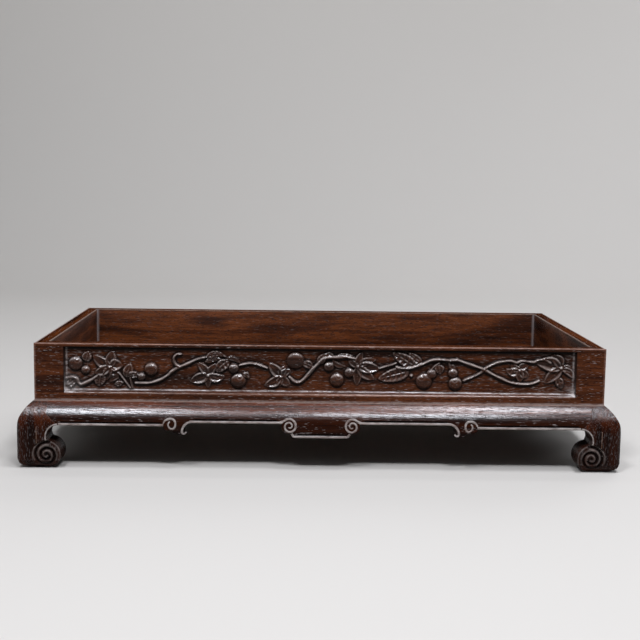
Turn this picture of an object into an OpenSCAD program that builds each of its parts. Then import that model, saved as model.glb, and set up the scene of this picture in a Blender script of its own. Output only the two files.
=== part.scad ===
// Hardwood tray stand: a shallow mitred box with carved walls, on a bulging scroll-footed base.
// Lengths are in millimetres. The origin is on the ground under the middle of the stand,
// the long side runs along X, the front faces -Y and Z is up.

/* [Tray box] */
// Outside length of the box
tray_l = 300; // [220:1:420]
// Outside width of the box
tray_w = 160; // [130:1:260]
// Height of the walls
wall_h = 30; // [27:0.5:45]
// Thickness of the walls
wall_t = 7; // [6.5:0.1:10]
// Height of the floor above the underside of the walls
floor_up = 9; // [8.6:0.1:16]

/* [Tray floor] */
// Thickness of the floor board
floor_t = 5; // [4:0.1:5.8]
// Thickness of the tongue round the floor board
tongue_t = 2.6; // [1.5:0.1:3.2]
// Depth of the groove in the walls
groove_d = 2.5; // [1.5:0.1:2.8]
// Gap round the floor board, for the wood to move
floor_gap = 0.2; // [0.1:0.05:0.4]
// Width of a batten under the floor
batten_w = 9; // [6:0.5:14]
// Height of a batten below the floor board
batten_h = 4; // [2:0.5:5]
// Depth of the dovetail that holds a batten
dovetail_d = 1.5; // [1:0.1:2]
// Distance of the battens from the middle
batten_x = 75; // [40:1:90]

/* [Carved fields] */
// Plain wood left of and right of a field
field_end = 15.4; // [12:0.2:24]
// Plain wood above a field
field_top = 1.8; // [1.2:0.1:4]
// Plain wood below a field
field_foot = 4.3; // [3:0.1:6]
// Depth of the sunk ground
field_d = 2.2; // [1:0.1:2.4]
// Width of the slope round a field
field_slope = 0.9; // [0.4:0.1:1.5]
// Width of a vine stem
stem_w = 1.5; // [1:0.1:2]
// Height of stems above the ground
stem_relief = 1.4; // [0.6:0.1:1.7]
// Height of leaves and petals above the ground
leaf_relief = 1.7; // [0.6:0.1:1.9]
// Height of the fruits above the ground
fruit_relief = 2; // [0.8:0.1:2.1]

/* [Base] */
// Height of the base, ground to walls
base_h = 35; // [34:0.5:50]
// Overhang of the base beyond the walls
base_out = 8; // [6:0.2:11]
// Angle of the shoulder from upright, at the wall
shoulder_angle = 54; // [46:1:60]
// Angle from upright at which the shoulder turns into the bulge
bulge_angle = 34; // [24:1:40]
// Radius of the bulge below the shoulder
bulge_r = 16; // [10:0.5:18]

/* [Apron edge] */
// Drop from the base top to the outer runs
outer_drop = 12; // [11:0.2:14]
// Drop from the base top to the inner runs
inner_drop = 10.2; // [8.5:0.2:10.8]
// Width of the hanging tablet
tablet_w = 29.6; // [20:0.2:40]
// Drop from the base top to the tablet's foot
tablet_drop = 17.4; // [15:0.2:20]
// Radius of the scrolls beside the tablet
tablet_scroll_r = 4; // [2.5:0.1:5]
// Distance of a tablet scroll's centre outside the tablet
tablet_scroll_out = 1.6; // [0:0.1:2.5]
// Distance of a tablet scroll's centre below the inner run
tablet_scroll_low = 1.2; // [0:0.1:2]
// Distance of a hook from the middle, front and back
hook_x = 72.8; // [50:0.2:90]
// Distance of a hook from the middle, left and right
side_hook_x = 38; // [32:0.2:42]
// Drop from the base top to a hook's tip
hook_drop = 16.3; // [14:0.1:18]
// Width of a hook's tip
hook_tip_w = 2.4; // [1.6:0.1:3.5]
// Radius of the bend from a hook to the inner run
hook_bend_r = 4.6; // [3:0.1:5]
// Radius of the scroll beside a hook
hook_scroll_r = 3.3; // [2:0.1:4]
// Distance of that scroll from its hook
hook_scroll_out = 6.2; // [5:0.1:8]
// Distance of that scroll's centre above the outer run
hook_scroll_up = 1; // [0:0.1:2]

/* [Legs] */
// Reach of the neck inside the wall face
neck_in = 7.5; // [6.8:0.1:10]
// Radius of the hollow under the apron
knee_r = 6; // [4:0.2:7]
// Radius of the scroll foot
foot_r = 7.4; // [6:0.1:7.8]
// Radius of the outer toe
toe_r = 6.4; // [3:0.2:7]
// Radius of the leg's upright corner
corner_r = 3.5; // [1:0.1:5]
// Width of the spiral cut in a foot
spiral_w = 1.3; // [0.6:0.1:1.5]
// Depth of the spiral cut in a foot
spiral_d = 1; // [0.3:0.1:1.5]
// Distance from the scroll's edge at which the spiral starts
spiral_edge = 0.4; // [0.2:0.1:1]
// Radius at which the spiral ends
eye_r = 1.9; // [1.4:0.1:2.2]
// Turns of the spiral
spiral_turns = 1.75; // [1.25:0.25:1.75]

/* [Joints] */
// Clearance in hidden joints
joint_gap = 0.1; // [0.05:0.05:0.2]
// Length of a corner key across its mitre
key_l = 6; // [4:0.2:6.4]
// Thickness of a corner key
key_t = 1.6; // [1:0.1:2]
// Plain wood above and below a corner key
key_margin = 5; // [4:0.2:8]
// Width of the leg post behind the mitre
post_w = 5.4; // [3:0.1:5.8]
// Width of the tenon on top of the post
tenon_w = 3.2; // [2:0.1:3.6]
// Height of the tenon on top of the post
tenon_h = 3; // [2:0.1:3.5]
// Thickness of an apron tenon
apron_tenon_t = 3; // [2:0.1:3.4]
// Height of an apron tenon
apron_tenon_h = 4; // [2.5:0.1:4.4]
// Reach of an apron tenon outside the wall face
apron_tenon_out = 3.5; // [3:0.1:3.8]
// Distance of an apron tenon's end from the wall corner
apron_tenon_end = 2; // [1:0.1:4]
// Wood below an apron tenon
apron_tenon_up = 1.5; // [0.8:0.1:2]
// Radius of the pegs between apron and wall
wall_peg_r = 1.2; // [0.8:0.1:1.3]
// Length of a wall peg in the wall
wall_peg_up = 3.8; // [2:0.1:4]
// Length of a wall peg in the apron
wall_peg_down = 6; // [3:0.5:8]
// Wood between a wall peg and the carved ground
wall_peg_cover = 1; // [0.6:0.1:1.4]
// Radius of the pegs between apron and leg
leg_peg_r = 0.8; // [0.6:0.1:1]
// Distance of a leg peg inside the neck
leg_peg_side = 1.8; // [1.2:0.1:2.4]
// Reach of a leg peg above and below the tenon
leg_peg_reach = 1.5; // [1:0.1:2.5]

/* [Hidden] */
$fn = 48;
far = 1000;
lap = 1;
arc_step = 6;
slope_steps = 3;
bulge_steps = 5;
stem_steps = 3;
dovetail_angle = 30;
spiral_start = 72;
spiral_step = 15;
spiral_ease = 0.75;
foot_arc_end = 84;

rim_z = base_h + wall_h;
floor_z = base_h + floor_up;
well_l = tray_l - 2 * wall_t;
well_w = tray_w - 2 * wall_t;
floor_low = floor_z - floor_t;
tongue_z = floor_z - floor_t / 2 - tongue_t / 2;
tongue_reach = groove_d - floor_gap;
key_z = base_h + key_margin;
key_h = wall_h - 2 * key_margin;

// Section of the base: a long gentle arc, then a bulge that ends upright at the full overhang
bulge_out = bulge_r * (1 - cos(bulge_angle));
slope_r = (base_out - bulge_out) / (cos(bulge_angle) - cos(shoulder_angle));
slope_drop = slope_r * (sin(shoulder_angle) - sin(bulge_angle));
slope_z = base_h - slope_drop;
bulge_z = slope_z - bulge_r * sin(bulge_angle);
shoulder_line = concat(
    [for (i = [slope_steps : -1 : 1])
        let (a = bulge_angle + (shoulder_angle - bulge_angle) * i / slope_steps)
        [slope_r * (cos(a) - cos(shoulder_angle)), slope_z + slope_r * (sin(a) - sin(bulge_angle))]],
    [for (i = [bulge_steps : -1 : 0])
        let (a = bulge_angle * i / bulge_steps)
        [base_out - bulge_r * (1 - cos(a)), bulge_z + bulge_r * sin(a)]]);

// The mitre between apron and leg runs from the wall corner to the end of the outer run
mitre_in = neck_in + knee_r;
outer_z = base_h - outer_drop;
inner_z = base_h - inner_drop;
hook_z = base_h - hook_drop;
hook_scroll_z = outer_z + hook_scroll_up;

post_in = (wall_t - post_w) / 2;
tenon_in = (wall_t - tenon_w) / 2;
apron_tenon_z = outer_z + apron_tenon_up;
leg_peg_in = neck_in + leg_peg_side;
leg_peg_out = apron_tenon_t / 2 - apron_tenon_out;
leg_peg_z = apron_tenon_z - apron_tenon_up - leg_peg_reach / 2;
leg_peg_top = apron_tenon_z + apron_tenon_h + leg_peg_reach;
wall_peg_in = field_d + wall_peg_cover + wall_peg_r;
peg_gap = joint_gap / 2;

// Wall pegs along a long and along a short side, as shares of its length from the middle
front_pegs = [-0.3, 0, 0.3];
side_pegs = [-0.22, 0.22];

// The fruiting vine, drawn for one long field: x from its middle, z from the rim
vine_l = 269.2;
vine_h = 23.9;
stems = [
    [[-127, -20], [-123.5, -20.3], [-119.7, -18.8]],
    [[-95.4, -20.6], [-88, -20.2], [-81.6, -18.3], [-74.5, -12.9], [-68.2, -9.2], [-61.5, -7]],
    [[-73.5, -12], [-77.2, -10], [-76.6, -6.8], [-72.8, -5.9]],
    [[-41.8, -10.4], [-36.5, -9.3], [-29.1, -11.4], [-24, -13.5]],
    [[-12.5, -19.7], [-9, -17.9], [-4.8, -13.2], [-1.6, -10], [2.3, -7.1], [8, -6.3]],
    [[22, -11.5], [29.9, -11.8], [37.4, -9.9], [48.8, -10.6], [55.3, -7.2], [62.3, -6.1], [72.9, -6.7],
        [77, -9.2], [86.5, -12.7], [95.6, -17.2], [101.6, -19.2], [108.7, -19.5], [115, -17.3], [122, -13]],
    [[72.3, -19], [75.3, -17.7], [84, -13.4], [86.5, -10.8], [90, -8.7], [94.3, -7.6], [103.4, -7.5],
        [112.9, -7.3], [117.5, -6.2], [123, -9]]];
fruits = [[-128.9, -10.6, 3.7], [-122.8, -14.1, 2.1], [-100.3, -13.8, 2.4], [-88.7, -13.1, 3.5],
    [-44.6, -12.9, 2.4], [-42.9, -19.4, 3.5], [-12.9, -8, 4], [5, -11, 2.4], [8.6, -18.1, 3.4],
    [54.6, -18.7, 3.9], [58.8, -14.3, 2.6], [69.5, -13.9, 2.6], [72.3, -19.5, 3.4]];
blossoms = [
    [[-111.9, -11.8],
        [[-110.5, -4.6], [-117.5, -7.6], [-105.5, -8.6], [-117.6, -15], [-115.8, -20.6], [-107.2, -20.6]]],
    [[-58.7, -16.3], [[-65, -19.6], [-58.3, -21], [-52.4, -18.4], [-55.2, -12.8], [-62.4, -12]]],
    [[-20.6, -16.6], [[-26.2, -10.3], [-18, -10.8], [-14.2, -14.2], [-27.4, -21], [-15.2, -20.8]]],
    [[19.4, -10.9], [[21.9, -3.3], [14.2, -15], [20, -18.2], [29.3, -6.2], [28, -16.8]]],
    [[126.4, -11.2], [[121.7, -3.8], [132.6, -9], [132, -15.4], [119, -18], [118.2, -11.2]]],
    [[103.4, -13.2], [[99.4, -10.8], [107.4, -10.8], [99.6, -15], [106.6, -16.6]]]];
leaves = [[[-63, -7], [-47.6, -7.4], 3.4], [[-55, -9.6], [-41.2, -9.4], 3.2], [[2.4, -7], [13, -10.6], 2.8],
    [[6, -5.4], [18.4, -6.6], 2.6], [[38.8, -4], [51.4, -8.8], 4], [[31, -17], [46.6, -13], 5.4]];
petal_w = 3;
petal_start = 0.4;
blossom_r = 1.3;

function side_l(side) = side % 2 == 0 ? tray_l : tray_w;
function side_reach(side) = side % 2 == 0 ? tray_w / 2 : tray_l / 2;
function side_hook(side) = side % 2 == 0 ? hook_x : side_hook_x;
function side_pegs_x(side) = [for (share = side % 2 == 0 ? front_pegs : side_pegs) share * side_l(side)];

// Points of an arc about a centre
function arc(centre, r, from, to) =
    let (steps = ceil(abs(to - from) / arc_step))
    [for (i = [0 : steps])
        let (a = from + (to - from) * i / steps)
        centre + r * [cos(a), sin(a)]];

// Puts a shape that is drawn for the front onto side 0 to 3: y is 0 on the wall face and grows inwards
module on_side(side) {
    rotate([0, 0, 90 * side])
        translate([0, -side_reach(side), 0])
            children();
}

// Puts a shape that is drawn for the front left corner onto corner 0 to 3: x and y grow inwards
module on_corner(corner) {
    right = corner == 1 || corner == 2;
    back = corner >= 2;
    mirror([right ? 1 : 0, 0, 0])
        mirror([0, back ? 1 : 0, 0])
            translate([-tray_l / 2, -tray_w / 2, 0])
                children();
}

// A shape of the elevation, drawn in x and z, from depth y0 to depth y1
module upright(y0, y1) {
    translate([0, y1, 0])
        rotate([90, 0, 0])
            linear_extrude(y1 - y0)
                children();
}

// A section, drawn in y and z, run along x over a length about the middle
module run_along(length) {
    translate([-length / 2, 0, 0])
        rotate([90, 0, 90])
            linear_extrude(length)
                children();
}

// The vine carving
function spline_at(p, i, t) =
    let (last = len(p) - 1, a = p[max(i - 1, 0)], b = p[i], c = p[i + 1], d = p[min(i + 2, last)])
    0.5 * (2 * b + (c - a) * t + (2 * a - 5 * b + 4 * c - d) * t * t + (3 * b - a - 3 * c + d) * t * t * t);
function smooth(p, n) = concat([for (i = [0 : len(p) - 2]) for (k = [0 : n - 1]) spline_at(p, i, k / n)],
    [p[len(p) - 1]]);
function unit(v) = v / norm(v);
function across(p, i) =
    let (d = unit(p[min(i + 1, len(p) - 1)] - p[max(i - 1, 0)]))
    [-d.y, d.x];

module ribbon(p, w) {
    upper = [for (i = [0 : len(p) - 1]) p[i] + across(p, i) * w / 2];
    lower = [for (i = [len(p) - 1 : -1 : 0]) p[i] - across(p, i) * w / 2];
    polygon(concat(upper, lower));
}

module leaf(from, to, w) {
    along = to - from;
    r = (pow(norm(along), 2) / w + w) / 4;
    translate((from + to) / 2)
        rotate(atan2(along.y, along.x))
            intersection() {
                translate([0, r - w / 2]) circle(r);
                translate([0, w / 2 - r]) circle(r);
            }
}

// What stands up from the ground: part of the vine from x0 to x1, spread over a field
module vine(x0, x1, length, height) {
    spread = length / (x1 - x0);
    rise = height / vine_h;
    middle = (x0 + x1) / 2;
    back = field_d + lap;
    function at(p) = [(p.x - middle) * spread, -field_top + (p.y + field_top) * rise];
    function inside(x) = x > x0 && x < x1;
    translate([0, 0, rim_z]) {
        upright(field_d - stem_relief, back)
            for (s = stems)
                if (inside(s[0].x) && inside(s[len(s) - 1].x))
                    ribbon([for (p = smooth(s, stem_steps)) at(p)], stem_w);
        upright(field_d - leaf_relief, back) {
            for (b = blossoms)
                if (inside(b[0].x)) {
                    translate(at(b[0])) circle(blossom_r);
                    for (tip = b[1])
                        leaf(at(b[0]) + petal_start * unit(at(tip) - at(b[0])), at(tip), petal_w);
                }
            for (l = leaves)
                if (inside(l[0].x) && inside(l[1].x))
                    leaf(at(l[0]), at(l[1]), l[2]);
        }
        for (f = fruits)
            if (inside(f.x)) {
                cap_r = (f[2] * f[2] + fruit_relief * fruit_relief) / (2 * fruit_relief);
                translate([at(f).x, field_d - fruit_relief + cap_r, at(f).y]) sphere(cap_r);
            }
    }
}

// The sunk field with its sloping edge
module sunk_field(length) {
    low = base_h + field_foot;
    high = rim_z - field_top;
    wider = lap * field_slope / field_d;
    intersection() {
        linear_extrude(far)
            polygon([[-length / 2 - wider, -lap], [length / 2 + wider, -lap],
                [length / 2 - field_slope, field_d], [field_slope - length / 2, field_d]]);
        run_along(length + 2 * far)
            polygon([[-lap, low - wider], [field_d, low + field_slope],
                [field_d, high - field_slope], [-lap, high + wider]]);
    }
}

// Plan of a board that is mitred to its neighbours, from a reach outside the wall face to its inside
module mitred_plan(length, out) {
    half = length / 2;
    polygon([[-half - out, -out], [half + out, -out], [half - wall_t, wall_t], [wall_t - half, wall_t]]);
}

// Tray box

module wall(side, x0, x1) {
    length = side_l(side);
    field_l = length - 2 * field_end;
    field_h = wall_h - field_top - field_foot;
    color("#4b281a")
        difference() {
            on_side(side) {
                difference() {
                    translate([0, 0, base_h]) linear_extrude(wall_h) mitred_plan(length, 0);
                    difference() {
                        sunk_field(field_l);
                        vine(x0, x1, field_l, field_h);
                    }
                    translate([-length / 2, wall_t - groove_d, tongue_z - joint_gap])
                        cube([length, groove_d + lap, tongue_t + 2 * joint_gap]);
                    wall_peg_row(side, peg_gap);
                }
            }
            for (corner = [0 : 3])
                on_corner(corner) {
                    corner_key_shape(joint_gap);
                    leg_tenon(joint_gap);
                }
        }
}

module corner_key_shape(gap) {
    translate([wall_t / 2, wall_t / 2, key_z - gap])
        rotate([0, 0, -45])
            translate([-key_l / 2 - gap, -key_t / 2 - gap, 0])
                cube([key_l + 2 * gap, key_t + 2 * gap, key_h + 2 * gap]);
}

module corner_key(corner) {
    color("#5a3423")
        on_corner(corner)
            corner_key_shape(0);
}

// The dovetail is wider inside the floor board than at its underside
module dovetail_section(gap) {
    wide = batten_w / 2 + gap;
    narrow = wide - dovetail_d * tan(dovetail_angle);
    top = floor_low + dovetail_d;
    polygon([[-narrow, floor_low - lap], [narrow, floor_low - lap], [narrow, floor_low], [wide, top],
        [-wide, top], [-narrow, floor_low]]);
}

module batten_section() {
    dovetail_section(0);
    translate([-batten_w / 2, floor_low - batten_h]) square([batten_w, batten_h]);
}

module along_batten(end, length) {
    translate([end * batten_x, 0, 0])
        rotate([0, 0, 90])
            run_along(length)
                children();
}

// A board in the well that reaches under the walls on all sides, or stays clear of them if reach is negative
module well_board(reach, z, thickness) {
    translate([-well_l / 2 - reach, -well_w / 2 - reach, z])
        cube([well_l + 2 * reach, well_w + 2 * reach, thickness]);
}

module tray_floor() {
    color("#54301f")
        difference() {
            union() {
                well_board(-floor_gap, floor_low, floor_t);
                well_board(tongue_reach, tongue_z, tongue_t);
            }
            for (end = [-1, 1])
                along_batten(end, tray_w) dovetail_section(joint_gap);
        }
}

module floor_batten(end) {
    color("#47271a")
        along_batten(end, well_w - 2 * floor_gap) batten_section();
}

// Base
module apron_section() {
    polygon(concat([for (p = shoulder_line) [-p.x, p.y]], [[-base_out, 0], [wall_t, 0], [wall_t, base_h]]));
}

module apron_outline(length, hook) {
    half = length / 2;
    tablet_scroll_x = tablet_w / 2 + tablet_scroll_out;
    hook_scroll_x = hook + hook_scroll_out;
    bend_x = hook - hook_tip_w / 2 - hook_bend_r;
    difference() {
        polygon([[-half, base_h], [mitre_in - half, outer_z], [half - mitre_in, outer_z], [half, base_h]]);
        translate([-hook, 0]) square([2 * hook, inner_z]);
    }
    translate([-tablet_w / 2, base_h - tablet_drop]) square([tablet_w, tablet_drop - lap]);
    for (end = [0, 1])
        mirror([end, 0]) {
            translate([tablet_scroll_x, inner_z - tablet_scroll_low]) circle(tablet_scroll_r);
            translate([hook_scroll_x, hook_scroll_z]) circle(hook_scroll_r);
            polygon(concat([[bend_x, inner_z + lap], [hook_scroll_x, inner_z + lap],
                [hook_scroll_x, hook_scroll_z - hook_scroll_r + lap / 2],
                [hook + hook_tip_w / 2, hook_z], [hook - hook_tip_w / 2, hook_z]],
                arc([bend_x, inner_z - hook_bend_r], hook_bend_r, 0, 90)));
        }
}

module apron(side) {
    length = side_l(side);
    color("#45281e")
        difference() {
            on_side(side) {
                difference() {
                    union() {
                        intersection() {
                            run_along(length + lap) apron_section();
                            upright(-far, far) apron_outline(length, side_hook(side));
                            linear_extrude(far) mitred_plan(length, base_out + lap);
                        }
                        for (end = [0, 1])
                            mirror([end, 0, 0])
                                translate([-length / 2, 0, 0])
                                    apron_tenon(0);
                    }
                    wall_peg_row(side, peg_gap);
                }
            }
            for (corner = [0 : 3])
                on_corner(corner) {
                    leg_post(joint_gap);
                    leg_peg_pair(peg_gap);
                }
        }
}

// A tenon of the apron along x at the front left corner
module apron_tenon(gap) {
    translate([apron_tenon_end - gap, -apron_tenon_out - gap, apron_tenon_z - gap])
        cube([mitre_in - apron_tenon_end + gap, apron_tenon_t + 2 * gap, apron_tenon_h + 2 * gap]);
}

// Swaps x and y, to repeat a joint of the front on the side of the same corner
module both_ways() {
    children();
    mirror([1, -1, 0]) children();
}

// Outer half of a leg's elevation, the same from the front and from the side: x inwards from the wall face
function leg_outside() = concat([for (p = shoulder_line) [-p.x, p.y]],
    arc([toe_r - base_out, toe_r], toe_r, 180, 270));

// One of the two blades of a leg: its scroll shows on the front, its depth ends at the neck
module leg_blade() {
    intersection() {
        upright(-far, neck_in)
            polygon(concat(leg_outside(),
                arc([foot_r, foot_r], foot_r, -90, foot_arc_end),
                arc([neck_in + knee_r, outer_z - knee_r], knee_r, 180, 90)));
        mirror([1, -1, 0])
            upright(-far, far)
                polygon(concat(leg_outside(), [[far, 0], [far, base_h]]));
    }
}

// Plan of a leg, rounded at its upright corner
module leg_plan() {
    translate([0, 0, -lap])
        linear_extrude(far)
            polygon(concat(arc([corner_r - base_out, corner_r - base_out], corner_r, 180, 270),
                [[far, -base_out], [far, far], [-base_out, far]]));
}

module leg_post(gap) {
    translate([post_in - gap, post_in - gap, outer_z - lap])
        cube([post_w + 2 * gap, post_w + 2 * gap, outer_drop + lap + gap]);
}

module leg_tenon(gap) {
    translate([tenon_in - gap, tenon_in - gap, base_h - lap])
        cube([tenon_w + 2 * gap, tenon_w + 2 * gap, tenon_h + lap + gap]);
}

// The spiral starts where the scroll foot meets the neck, goes down its outer side and winds in to its eye
module foot_spiral() {
    start_r = foot_r - spiral_edge;
    wound = 360 * spiral_turns;
    line = [for (a = [0 : spiral_step : wound])
        let (turned = spiral_start + a)
        [foot_r, foot_r]
            + (start_r - (start_r - eye_r) * pow(a / wound, spiral_ease)) * [cos(turned), sin(turned)]];
    translate([0, -base_out, 0])
        upright(-lap, spiral_d)
            ribbon(line, spiral_w);
}

module leg(corner) {
    color("#40241b")
        on_corner(corner)
            difference() {
                union() {
                    intersection() {
                        both_ways() leg_blade();
                        leg_plan();
                    }
                    leg_post(0);
                    leg_tenon(0);
                }
                both_ways() {
                    apron_tenon(joint_gap);
                    foot_spiral();
                }
                leg_peg_pair(peg_gap);
            }
}

// Pegs
module wall_peg_row(side, gap) {
    for (x = side_pegs_x(side))
        translate([x, wall_peg_in, base_h - wall_peg_down - gap])
            cylinder(h = wall_peg_down + wall_peg_up + 2 * gap, r = wall_peg_r + gap);
}

module wall_pegs() {
    color("#a8844f")
        for (side = [0 : 3])
            on_side(side)
                wall_peg_row(side, 0);
}

module leg_peg_pair(gap) {
    both_ways()
        translate([leg_peg_in, leg_peg_out, leg_peg_z - gap])
            cylinder(h = leg_peg_top - leg_peg_z + 2 * gap, r = leg_peg_r + gap);
}

module leg_pegs() {
    color("#a8844f")
        for (corner = [0 : 3])
            on_corner(corner)
                leg_peg_pair(0);
}

wall(0, -vine_l / 2, vine_l / 2);  // front_wall
wall(1, 0, vine_l / 2);  // right_wall
wall(2, -vine_l / 2, vine_l / 2);  // back_wall
wall(3, -vine_l / 2, 0);  // left_wall
corner_key(0);  // front_left_corner_key
corner_key(1);  // front_right_corner_key
corner_key(2);  // back_right_corner_key
corner_key(3);  // back_left_corner_key
tray_floor();
floor_batten(-1);  // left_floor_batten
floor_batten(1);  // right_floor_batten
apron(0);  // front_apron
apron(1);  // right_apron
apron(2);  // back_apron
apron(3);  // left_apron
leg(0);  // front_left_leg
leg(1);  // front_right_leg
leg(2);  // back_right_leg
leg(3);  // back_left_leg
wall_pegs();
leg_pegs();
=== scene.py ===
import math

import bpy
import numpy as np
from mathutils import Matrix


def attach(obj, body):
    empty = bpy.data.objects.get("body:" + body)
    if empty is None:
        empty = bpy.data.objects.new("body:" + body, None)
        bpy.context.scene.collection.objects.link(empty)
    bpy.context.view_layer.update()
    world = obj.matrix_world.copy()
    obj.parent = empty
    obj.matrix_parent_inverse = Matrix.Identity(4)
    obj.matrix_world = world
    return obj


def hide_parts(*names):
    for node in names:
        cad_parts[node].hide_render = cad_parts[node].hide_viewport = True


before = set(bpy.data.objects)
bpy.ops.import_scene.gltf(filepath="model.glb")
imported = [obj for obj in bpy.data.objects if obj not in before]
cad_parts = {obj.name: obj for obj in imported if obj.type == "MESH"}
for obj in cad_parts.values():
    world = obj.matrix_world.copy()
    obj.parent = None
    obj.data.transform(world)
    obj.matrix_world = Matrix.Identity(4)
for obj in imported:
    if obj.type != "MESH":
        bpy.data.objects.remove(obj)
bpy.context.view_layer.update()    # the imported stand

mm = 0.001
print("frame:", len(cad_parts), "nodes")

# Camera and studio. The camera is the one that the tray's corners in the photo give.
camera = {
    "place": (-0.01434, -0.67878, 0.15381), "turn": (82.854, -0.824, -1.169),
    "lens": {"lens": 65.08, "sensor_width": 36, "clip_start": 0.01, "clip_end": 20},
}
studio = {
    "floorColour": "#cfccc6",
    "half": 1.7,    # half width of the floor, metres
    "back": 1.25,    # from the stand to the backdrop
    "height": 1.7,
    "curve": 0.45,    # radius of the bend between floor and backdrop
    "below": 0.00005,    # the floor lies a hair under the feet
    "lampColour": "#f5f7ff",
    "worldColour": "#f2f3f6",
    "worldStrength": 0.11,
}
lamps = [    # name, place, aims at, size across and deep, watts
    ("leftSoftbox", (-0.28, -0.64, 0.95), (-0.05, -0.08, 0.03), (0.18, 0.23), 5.0),
    ("middleSoftbox", (0.15, -0.72, 0.92), (0.04, -0.08, 0.03), (0.26, 0.1), 4.8),
    ("rightSoftbox", (0.27, -0.29, 1.01), (0.09, -0.08, 0.03), (0.23, 0.26), 4.2),
    ("topSoftbox", (0.0, -0.2, 1.25), (0.0, -0.08, 0.03), (0.7, 0.25), 0.3),
    ("leftStrip", (-0.85, -0.5, 0.7), (-0.12, -0.06, 0.03), (0.35, 0.5), 0.6),
    ("rightStrip", (0.85, -0.5, 0.7), (0.12, -0.06, 0.03), (0.35, 0.5), 0.2),
    ("backFill", (0.8, 0.95, 0.75), (0.0, 0.0, 0.04), (0.7, 0.7), 4.0),
    ("backdropLamp", (0.0, 0.35, 1.2), (0.0, 1.25, 0.5), (1.2, 0.3), 5.0),
]


def setMode(mode):
    bpy.ops.object.mode_set(mode=mode)


def deselectAll():
    if bpy.context.object and bpy.context.object.mode != "OBJECT":
        setMode("OBJECT")
    bpy.ops.object.select_all(action="DESELECT")


def pick(piece):
    deselectAll()
    piece.select_set(True)
    bpy.context.view_layer.objects.active = piece
    return piece


def editAll():
    setMode("EDIT")
    bpy.ops.mesh.select_all(action="SELECT")


def chooseEdges(piece, test):    # on to edit mode, with the edges chosen whose two ends pass the test
    setMode("OBJECT")
    for edge in piece.data.edges:
        edge.select = all(test(piece.data.vertices[i].co) for i in edge.vertices)
    setMode("EDIT")


def toLinear(hexColour):
    parts = [int(hexColour[i:i + 2], 16) / 255 for i in (1, 3, 5)]
    return [c / 12.92 if c <= 0.04045 else ((c + 0.055) / 1.055) ** 2.4 for c in parts] + [1.0]


def addNode(tree, kind, settings=None, links=None, out=0):
    node = tree.nodes.new("ShaderNode" + kind)
    for key, value in (settings or {}).items():
        if key == "stops":    # colour ramp: (place, hex colour or grey)
            ramp = node.color_ramp.elements
            while len(ramp) < len(value):
                ramp.new(0.5)
            for stop, (place, colour) in zip(ramp, value):
                stop.position = place
                stop.color = toLinear(colour) if isinstance(colour, str) else [colour] * 3 + [1]
        elif isinstance(key, int) or key in node.inputs:
            node.inputs[key].default_value = value
        else:
            setattr(node, key, value)
    for key, source in (links or {}).items():
        tree.links.new(source, node.inputs[key])
    return node.outputs[out] if node.outputs else None


def newMaterial(name):
    material = bpy.data.materials.new(name)
    material.use_nodes = True
    material.node_tree.nodes.clear()
    return material, material.node_tree


deselectAll()
bpy.ops.object.camera_add(location=camera["place"], rotation=[math.radians(a) for a in camera["turn"]])
photoCamera = bpy.context.object
for key, value in camera["lens"].items():
    setattr(photoCamera.data, key, value)
bpy.context.scene.camera = photoCamera
bpy.context.scene.view_settings.view_transform = "Standard"

for name, place, aim, size, watts in lamps:
    deselectAll()
    bpy.ops.object.light_add(type="AREA", location=place)
    lamp = bpy.context.object
    lamp.name = name
    lamp.data.shape = "RECTANGLE"
    lamp.data.size, lamp.data.size_y = size
    lamp.data.energy = watts
    lamp.data.color = toLinear(studio["lampColour"])[:3]
    away = [p - a for p, a in zip(place, aim)]
    lamp.rotation_euler = (math.atan2(math.hypot(away[0], away[1]), away[2]), 0,
                           math.atan2(away[0], -away[1]))

world = bpy.data.worlds.new("studioWorld")
world.use_nodes = True
bpy.context.scene.world = world
sky = world.node_tree.nodes["Background"]
sky.inputs["Color"].default_value = toLinear(studio["worldColour"])
sky.inputs["Strength"].default_value = studio["worldStrength"]

deselectAll()
bpy.ops.mesh.primitive_plane_add(size=2 * studio["half"], location=(0, 0, -studio["below"]))
floor = bpy.context.object
floor.name = "studioFloor"
bpy.ops.object.transform_apply(location=True)
for vertex in floor.data.vertices:
    if vertex.co.y > 0:
        vertex.co.y = studio["back"]
setMode("EDIT")
bpy.ops.mesh.select_all(action="DESELECT")
chooseEdges(floor, lambda p: p.y > 0)
bpy.ops.mesh.extrude_edges_move(TRANSFORM_OT_translate={"value": (0, 0, studio["height"])})
chooseEdges(floor, lambda p: p.y > studio["back"] - 0.01 and p.z < 0.01)
bpy.ops.mesh.bevel(offset=studio["curve"], segments=16)
setMode("OBJECT")
bpy.ops.object.shade_smooth()
paper, tree = newMaterial("matt_paper_sweep")    # plain pale backdrop paper, no gloss
shade = addNode(tree, "BsdfPrincipled", {"Base Color": toLinear(studio["floorColour"]), "Roughness": 0.9,
                                         "Specular IOR Level": 0.1})
addNode(tree, "OutputMaterial", links={"Surface": shade})
floor.data.materials.append(paper)
print("studio: floor, lamps and camera")


# Woods. Each pattern is as long and as wide as it is on the real board, in millimetres.
finish = {    # what all the woods share
    "ior": 1.5, "waxIor": 1.6,
    "cutEdge": 0.05,    # how softly a pore begins, on its pattern
    "cutDepth": 0.12,    # mm
    "cutRough": 0.3,    # what a pore adds to the roughness
    "wornFrom": (0.34, 0.64), "wornLeast": 0.3,
    "ridgeFrom": (0.53, 0.62), "ridgeBroken": (0.38, 0.6, 0.2, 1.0),
    "cornerReach": 1.6, "cornerEdge": 0.4, "cornerShare": 0.9,    # wax in the tray's corners, mm and share
    "paintedShadeWax": 0.05,
}


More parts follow.
